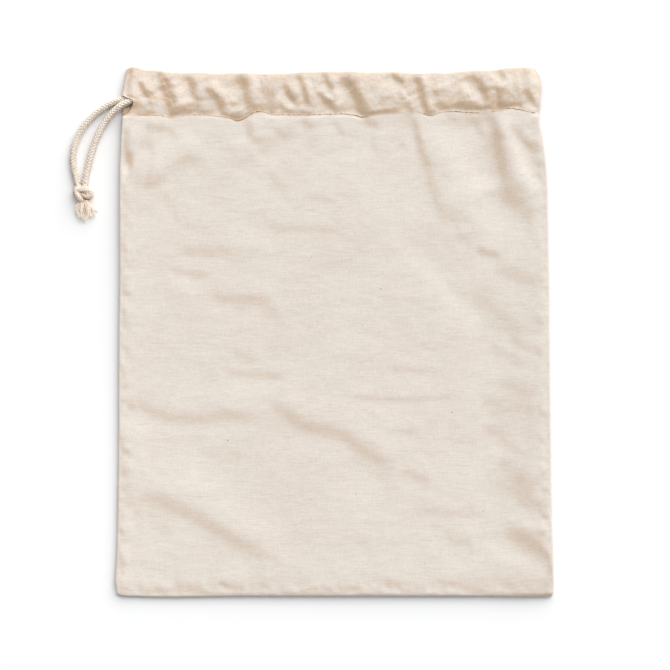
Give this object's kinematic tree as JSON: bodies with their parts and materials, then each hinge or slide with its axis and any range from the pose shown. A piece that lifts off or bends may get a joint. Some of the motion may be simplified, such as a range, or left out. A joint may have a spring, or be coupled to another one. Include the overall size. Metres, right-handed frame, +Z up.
{
  "type": "drawstring bread bag",
  "caption": "Small flat cloth bag lying empty on its back, its turned-down top holding a braided drawcord whose tails leave at the left and end in a knot with frayed ends.",
  "frame": {"origin": "on the surface that the bag lies on, under the middle of its two panels", "axes": "+Z up out of the bag's face, +Y toward its mouth, +X to the right of its face"},
  "size_m": [0.3331, 0.3648, 0.0166],
  "materials": {
    "cloth": "plain-woven unbleached cloth, matt, with slubs and seed flecks",
    "cord": "braided unbleached cotton cord"
  },
  "bodies": {
    "root": {"back_panel": "cloth", "front_panel": "cloth", "drawcord": "cord", "knot": "cord"}
  },
  "joints": []
}
